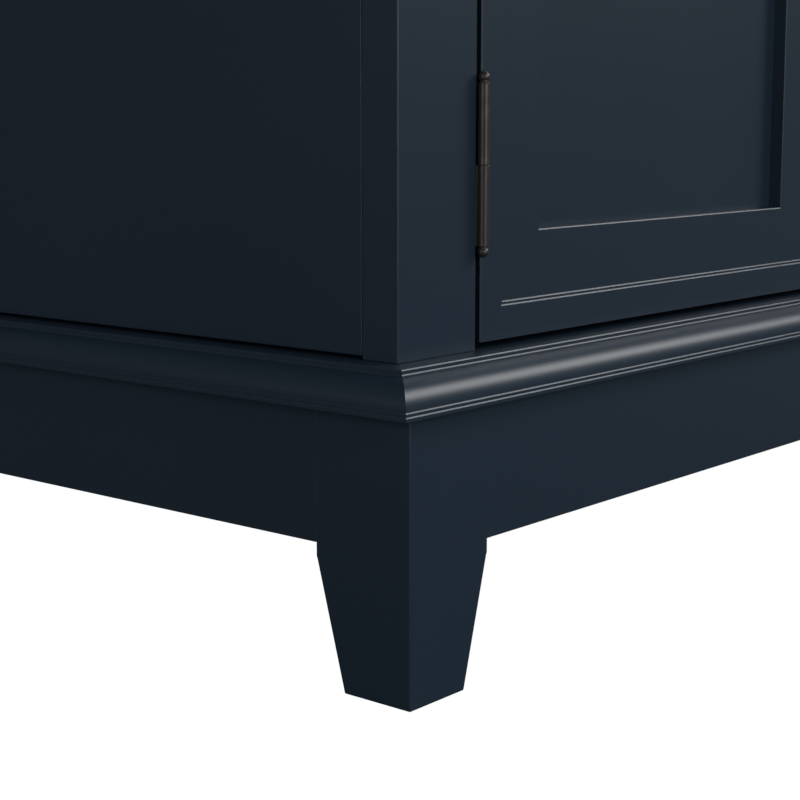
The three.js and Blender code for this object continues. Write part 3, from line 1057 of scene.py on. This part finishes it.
# %% [markdown]
# ## Floor
#
# The floor is plain and pale. The camera sees it as almost white, but what it throws back at the
# lacquer is grey, because a dark satin coat mirrors its floor and would look washed out over a
# white one. The Is Camera Ray output of a Light Path node tells the two apart. The floor lies a
# hair below the feet, so that no two faces share a plane.

# %% Floor
FLOOR_SIZE = 60
FLOOR_GREY = 0.12
FLOOR_GLOW = 0.95  # share of plain white in what the camera sees of the floor
GLOW_STRENGTH = 1.06
FLOOR_DROP = 0.1 * MM

shape = bmesh.new()
bmesh.ops.create_grid(shape, x_segments=1, y_segments=1, size=FLOOR_SIZE / 2)
bmesh.ops.translate(shape, vec=(0, 0, -FLOOR_DROP), verts=shape.verts)
floor_mesh = bpy.data.meshes.new("floor")
shape.to_mesh(floor_mesh)
shape.free()
floor = bpy.data.objects.new("floor", floor_mesh)
bpy.context.scene.collection.objects.link(floor)

floor_material = bpy.data.materials.new("pale_floor")
floor_material.use_nodes = True
graph = Graph(floor_material.node_tree)
grey = graph.node("ShaderNodeBsdfDiffuse", {}, {"Color": (FLOOR_GREY, FLOOR_GREY, FLOOR_GREY, 1)})
glow = graph.node("ShaderNodeEmission", {}, {"Color": (1, 1, 1, 1), "Strength": GLOW_STRENGTH})
seen = graph.node("ShaderNodeLightPath")
mixed = graph.node("ShaderNodeMixShader", {}, {0: seen * FLOOR_GLOW, 1: grey, 2: glow})
graph.node("ShaderNodeOutputMaterial", {}, {"Surface": mixed})
floor_mesh.materials.append(floor_material)
print("floor is", FLOOR_SIZE, "m across")

# %% [markdown]
# ## Surround
#
# Around the cabinet there is nothing but a plain backdrop. The camera sees it as pure white, and
# the lacquer sees a much dimmer one. The dim surround only keeps the deepest shadows from going
# black, and leaves the shaping of the edges to the lights.

# %% Surround
SURROUND = 0.06

world = bpy.data.worlds.new("surround")
bpy.context.scene.world = world
world.use_nodes = True
graph = Graph(world.node_tree)
seen = graph.node("ShaderNodeLightPath")
strength = SURROUND + seen * (1 - SURROUND)
white = graph.node("ShaderNodeBackground", {}, {"Color": (1, 1, 1, 1), "Strength": strength})
graph.node("ShaderNodeOutputWorld", {}, {"Surface": white})
bpy.context.scene.view_settings.view_transform = "Standard"
print("surround lights the cabinet at", SURROUND, "of white")

# %% [markdown]
# ## Lights
#
# The key light stands high on the right. It draws the long highlight on the moulding's nosing and
# the thin bright lines on every planed arris. Two wide fills, in front and on the left, show the
# flat faces. A narrow strip on the left puts a streak along each hinge barrel, which a wide light
# would smear out. The last fill lights the back, for anyone who walks round.

# %% Lights
LIGHTS = {
    # where it stands, where it points, width, height, power in watts
    "key": ((4.40, -2.95, 3.24), (0, -0.25, 0.13), 2.2, 2.1, 152),
    "front_fill": ((-0.7, -5, 1.6), (0, -0.25, 0.2), 2.2, 2.2, 95),
    "left_fill": ((-5, 0.9, 1.8), (0, 0, 0.3), 2.2, 2.2, 34),
    "left_strip": ((-4.5, -0.88, 0.9), (-0.3, -0.25, 0.2), 0.4, 2, 20),
    "back_fill": ((1.2, 4.0, 3.4), (0, 0.1, 0.4), 2.5, 2.5, 120),
}


def soft_light(name, place, target, width, height, power):
    data = bpy.data.lights.new(name, "AREA")
    data.shape = "RECTANGLE"
    data.size = width
    data.size_y = height
    data.energy = power
    light = bpy.data.objects.new(name, data)
    light.location = place
    light.rotation_euler = (Vector(target) - Vector(place)).to_track_quat("-Z", "Y").to_euler()
    bpy.context.scene.collection.objects.link(light)


for name, settings in LIGHTS.items():
    soft_light(name, *settings)
print("lights:", ", ".join(LIGHTS))
